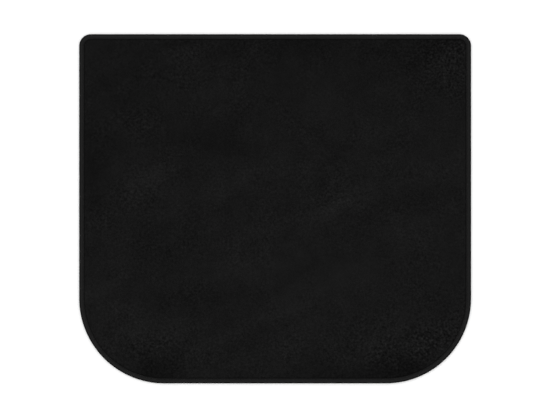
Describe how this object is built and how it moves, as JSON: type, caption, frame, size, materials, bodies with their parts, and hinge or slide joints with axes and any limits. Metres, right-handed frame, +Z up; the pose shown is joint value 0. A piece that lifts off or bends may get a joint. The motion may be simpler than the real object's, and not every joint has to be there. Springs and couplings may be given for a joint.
{
  "type": "chair mat",
  "caption": "Flat velour-faced mat for a desk chair, with wide round front corners, tight back corners, a felt cushion, a studded grip backing and a bound edge.",
  "frame": {"origin": "on the floor, at the middle of the rectangle that holds the mat's outline", "axes": "+X to the right along the mat's width, +Y to the back edge with the two tight corners, +Z up out of the velour face"},
  "size_m": [1, 0.891, 0.0072],
  "materials": {
    "velour": "short cut pile, matt with a soft nap",
    "scrim": "open plain weave",
    "latex": "dried coating, matt",
    "felt": "needled felt",
    "grip_rubber": "moulded, matt",
    "binding_tape": "close ribbed weave, dull satin",
    "sewing_thread": "twisted filament, soft sheen"
  },
  "bodies": {
    "root": {"pile_face": "velour", "pile_scrim": "scrim", "latex_coat": "latex", "felt_cushion": "felt", "grip_backing": "grip_rubber", "edge_binding": "binding_tape", "needle_thread": "sewing_thread", "bobbin_thread": "sewing_thread"}
  },
  "joints": []
}
